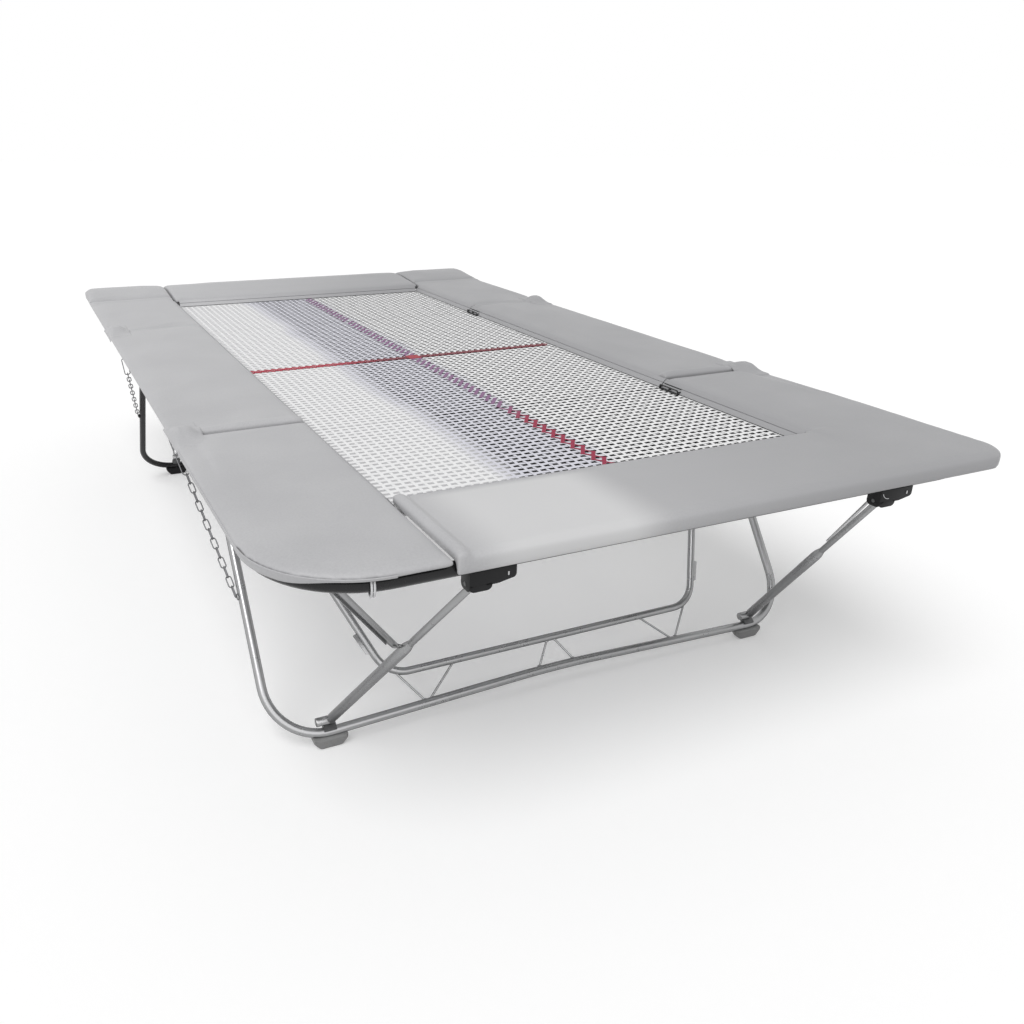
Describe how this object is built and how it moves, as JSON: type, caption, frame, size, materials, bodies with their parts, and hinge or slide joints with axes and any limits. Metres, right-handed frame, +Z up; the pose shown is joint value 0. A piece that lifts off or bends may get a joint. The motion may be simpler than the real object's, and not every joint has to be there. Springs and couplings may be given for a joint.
{
  "type": "gymnastics trampoline",
  "caption": "Full-size folding gymnastics trampoline: webbing bed on steel springs inside grey safety pads, on folding leg frames with struts, side braces and chains.",
  "frame": {"origin": "on the floor at the centre of the frame", "axes": "+Z up, +Y along the length away from the end with the single L-shaped pad, +X along the width"},
  "size_m": [3.07, 5.24, 1.2363],
  "materials": {
    "galvanised_steel": "satin galvanised",
    "black_steel": "semi-gloss black",
    "black_plastic": "moulded matte",
    "black_rubber": "matte",
    "grey_vinyl": "satin coated fabric",
    "white_webbing": "woven webbing"
  },
  "bodies": {
    "middle_section": {"left_side_rail": "galvanised_steel", "right_side_rail": "galvanised_steel", "middle_bed": "white_webbing", "left_middle_springs": "galvanised_steel", "right_middle_springs": "galvanised_steel", "left_middle_pad": "grey_vinyl", "right_middle_pad": "grey_vinyl", "near_left_leg_pin": "galvanised_steel", "near_right_leg_pin": "galvanised_steel", "far_left_leg_pin": "galvanised_steel", "far_right_leg_pin": "galvanised_steel"},
    "near_section": {"near_end_tube": "black_steel", "near_bed": "white_webbing", "near_springs": "galvanised_steel", "near_left_pad": "grey_vinyl", "near_front_pad": "grey_vinyl", "near_left_saddle": "black_plastic", "near_left_saddle_pin": "galvanised_steel", "near_right_saddle": "black_plastic", "near_right_saddle_pin": "galvanised_steel"},
    "near_leg": {"near_leg_outer_frame": "galvanised_steel", "near_leg_inner_frame": "galvanised_steel", "near_left_foot": "black_rubber", "near_left_strut_seat": "black_plastic", "near_right_foot": "black_rubber", "near_right_strut_seat": "black_plastic"},
    "near_left_strut": {"near_left_strut_tube": "galvanised_steel", "near_left_strut_rod": "galvanised_steel"},
    "near_left_side_brace": {"near_left_side_brace": "galvanised_steel"},
    "near_left_chain": {"near_left_chain": "galvanised_steel"},
    "near_right_strut": {"near_right_strut_tube": "galvanised_steel", "near_right_strut_rod": "galvanised_steel"},
    "near_right_side_brace": {"near_right_side_brace": "galvanised_steel"},
    "near_right_chain": {"near_right_chain": "galvanised_steel"},
    "far_section": {"far_end_tube": "black_steel", "far_bed": "white_webbing", "far_springs": "galvanised_steel", "far_end_pad": "grey_vinyl", "far_left_corner_pad": "grey_vinyl", "far_right_corner_pad": "grey_vinyl", "far_left_side_pad": "grey_vinyl", "far_right_side_pad": "grey_vinyl", "far_left_saddle": "black_plastic", "far_left_saddle_pin": "galvanised_steel", "far_right_saddle": "black_plastic", "far_right_saddle_pin": "galvanised_steel"},
    "far_leg": {"far_leg_outer_frame": "black_steel", "far_leg_inner_frame": "black_steel", "far_left_foot": "black_rubber", "far_left_strut_seat": "black_plastic", "far_right_foot": "black_rubber", "far_right_strut_seat": "black_plastic"},
    "far_left_strut": {"far_left_strut_tube": "galvanised_steel", "far_left_strut_rod": "galvanised_steel"},
    "far_left_side_brace": {"far_left_side_brace": "galvanised_steel"},
    "far_left_chain": {"far_left_chain": "galvanised_steel"},
    "far_right_strut": {"far_right_strut_tube": "galvanised_steel", "far_right_strut_rod": "galvanised_steel"},
    "far_right_side_brace": {"far_right_side_brace": "galvanised_steel"},
    "far_right_chain": {"far_right_chain": "galvanised_steel"}
  },
  "joints": [
    {"name": "near_section_fold", "type": "hinge", "parent": "middle_section", "child": "near_section", "pos_m": [0, -1.11, 1.2223], "axis": [-1, 0, 0], "range_deg": [0, 180]},
    {"name": "near_leg_fold", "type": "hinge", "parent": "middle_section", "child": "near_leg", "pos_m": [0, -1.05, 1.05], "axis": [1, 0, 0], "range_deg": [0, 122]},
    {"name": "near_left_strut_swing", "type": "hinge", "parent": "near_section", "child": "near_left_strut", "pos_m": [-0.865, -2.57, 1.09], "axis": [1, 0, 0], "range_deg": [0, 47.1]},
    {"name": "near_left_brace_swing", "type": "hinge", "parent": "near_left_strut", "child": "near_left_side_brace", "pos_m": [-1.00279, -2.2319, 0.70978], "axis": [-0.4079, -0.7507, -0.5197], "range_deg": [0, 126.1]},
    {"name": "near_left_chain_swing", "type": "hinge", "parent": "middle_section", "child": "near_left_chain", "pos_m": [-1.485, -0.8, 1.102], "axis": [1, 0, 0], "range_deg": [0, 48.1]},
    {"name": "near_right_strut_swing", "type": "hinge", "parent": "near_section", "child": "near_right_strut", "pos_m": [0.865, -2.57, 1.09], "axis": [1, 0, 0], "range_deg": [0, 47.1]},
    {"name": "near_right_brace_swing", "type": "hinge", "parent": "near_right_strut", "child": "near_right_side_brace", "pos_m": [1.00279, -2.2319, 0.70978], "axis": [-0.4079, 0.7507, 0.5197], "range_deg": [0, 126.1]},
    {"name": "near_right_chain_swing", "type": "hinge", "parent": "middle_section", "child": "near_right_chain", "pos_m": [1.485, -0.8, 1.102], "axis": [1, 0, 0], "range_deg": [0, 48.1]},
    {"name": "far_section_fold", "type": "hinge", "parent": "middle_section", "child": "far_section", "pos_m": [0, 1.11, 1.2223], "axis": [1, 0, 0], "range_deg": [0, 163]},
    {"name": "far_leg_fold", "type": "hinge", "parent": "middle_section", "child": "far_leg", "pos_m": [0, 1.05, 1.05], "axis": [-1, 0, 0], "range_deg": [0, 98]},
    {"name": "far_left_strut_swing", "type": "hinge", "parent": "far_section", "child": "far_left_strut", "pos_m": [-0.865, 2.57, 1.09], "axis": [-1, 0, 0], "range_deg": [0, 47.1]},
    {"name": "far_left_brace_swing", "type": "hinge", "parent": "far_left_strut", "child": "far_left_side_brace", "pos_m": [-1.00279, 2.2319, 0.70978], "axis": [0.4079, -0.7507, 0.5197], "range_deg": [0, 126.1]},
    {"name": "far_left_chain_swing", "type": "hinge", "parent": "middle_section", "child": "far_left_chain", "pos_m": [-1.485, 0.8, 1.102], "axis": [-1, 0, 0], "range_deg": [0, 48.1]},
    {"name": "far_right_strut_swing", "type": "hinge", "parent": "far_section", "child": "far_right_strut", "pos_m": [0.865, 2.57, 1.09], "axis": [-1, 0, 0], "range_deg": [0, 47.1]},
    {"name": "far_right_brace_swing", "type": "hinge", "parent": "far_right_strut", "child": "far_right_side_brace", "pos_m": [1.00279, 2.2319, 0.70978], "axis": [0.4079, 0.7507, -0.5197], "range_deg": [0, 126.1]},
    {"name": "far_right_chain_swing", "type": "hinge", "parent": "middle_section", "child": "far_right_chain", "pos_m": [1.485, 0.8, 1.102], "axis": [-1, 0, 0], "range_deg": [0, 48.1]}
  ],
  "couplings": [
    {"joint": "near_left_strut_swing", "follows": "near_section_fold", "ratio": 0.26111},
    {"joint": "near_left_brace_swing", "follows": "near_section_fold", "ratio": 0.7},
    {"joint": "near_left_chain_swing", "follows": "near_leg_fold", "ratio": 0.39344},
    {"joint": "near_right_strut_swing", "follows": "near_section_fold", "ratio": 0.26111},
    {"joint": "near_right_brace_swing", "follows": "near_section_fold", "ratio": 0.7},
    {"joint": "near_right_chain_swing", "follows": "near_leg_fold", "ratio": 0.39344},
    {"joint": "far_left_strut_swing", "follows": "far_section_fold", "ratio": 0.28834},
    {"joint": "far_left_brace_swing", "follows": "far_section_fold", "ratio": 0.77301},
    {"joint": "far_left_chain_swing", "follows": "far_leg_fold", "ratio": 0.4898},
    {"joint": "far_right_strut_swing", "follows": "far_section_fold", "ratio": 0.28834},
    {"joint": "far_right_brace_swing", "follows": "far_section_fold", "ratio": 0.77301},
    {"joint": "far_right_chain_swing", "follows": "far_leg_fold", "ratio": 0.4898}
  ]
}
